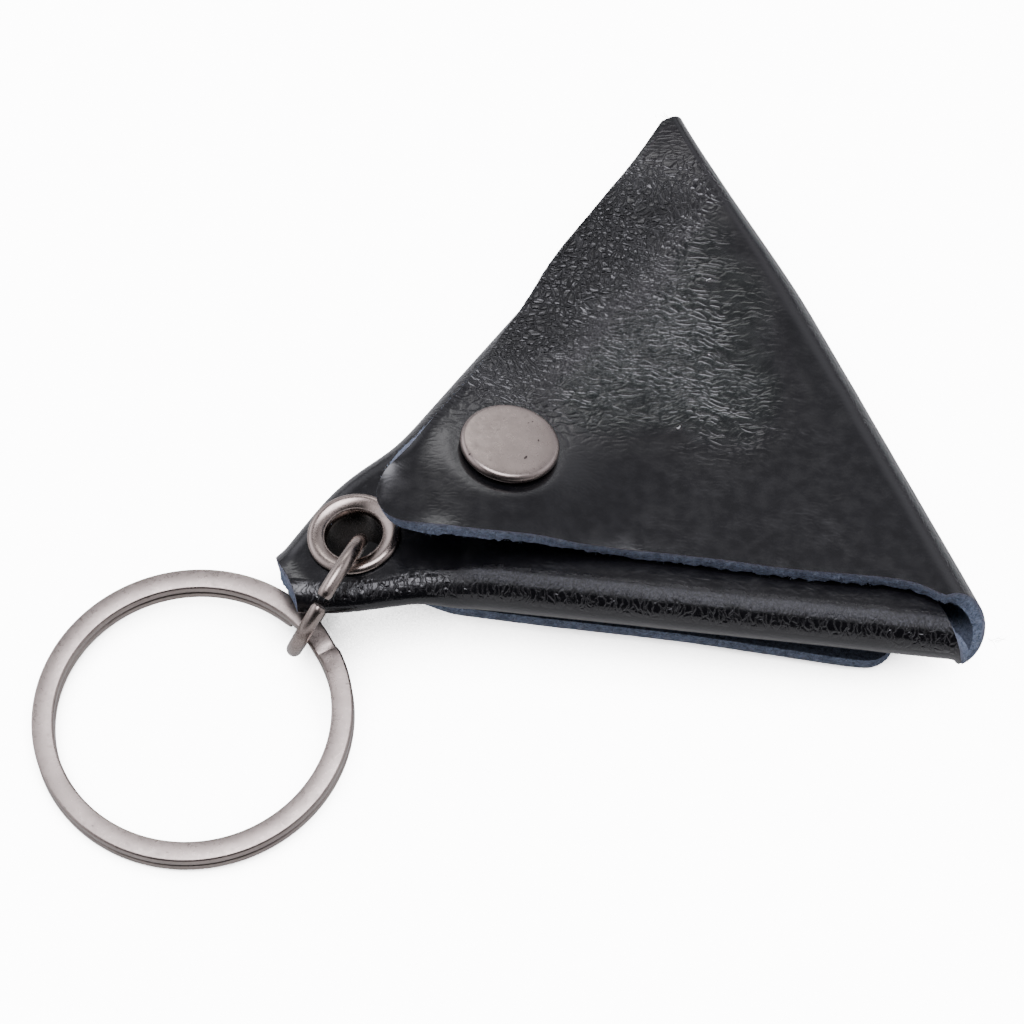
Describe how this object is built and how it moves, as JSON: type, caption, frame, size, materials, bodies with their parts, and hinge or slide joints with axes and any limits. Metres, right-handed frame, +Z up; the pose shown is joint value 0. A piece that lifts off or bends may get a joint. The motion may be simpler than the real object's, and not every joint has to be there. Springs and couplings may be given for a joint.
{
  "type": "pick holder",
  "caption": "Triangular folded black leather pick holder with a snap-down flap, a metal eyelet at one corner, a jump ring and a split key ring.",
  "frame": {"origin": "centre of the leather triangle, on the flat underside of the tail", "axes": "+X along the front roll towards the right corner, +Y towards the apex, +Z up from the table"},
  "size_m": [0.0934, 0.0888, 0.0167],
  "materials": {
    "leather": "glossy black grained leather with blue-grey fibrous cut edges",
    "plated_metal": "black nickel plating, lightly worn",
    "snap_metal": "dark plated snap parts",
    "ring_steel": "warm grey satin plated steel"
  },
  "bodies": {
    "pocket": {"leather_body": "leather", "flap_hinge_roll": "leather", "snap_stud": "snap_metal", "snap_stud_post": "snap_metal", "eyelet": "plated_metal", "eyelet_washer": "plated_metal"},
    "flap": {"leather_flap": "leather", "snap_cap": "plated_metal", "snap_cap_post": "snap_metal", "snap_socket": "snap_metal", "snap_spring": "plated_metal"},
    "jump_ring": {"jump_ring": "plated_metal"},
    "split_ring": {"split_ring": "ring_steel"}
  },
  "joints": [
    {"name": "flap_hinge", "type": "hinge", "parent": "pocket", "child": "flap", "pos_m": [0.01516, 0.00644, 0.00533], "axis": [-0.4998, 0.8656, -0.0312], "range_deg": [0, 165], "deforming": ["flap_hinge_roll"]},
    {"name": "jump_ring_swing", "type": "hinge", "parent": "pocket", "child": "jump_ring", "pos_m": [-0.0287, -0.01675, 0.00297], "axis": [-0.1289, 0.0297, 0.9912], "range_deg": [-15, 15]},
    {"name": "split_ring_swing", "type": "hinge", "parent": "jump_ring", "child": "split_ring", "pos_m": [-0.03145, -0.02215, 0.00527], "axis": [-0.8932, 0.3656, 0.2616], "range_deg": [-12, 60]}
  ]
}
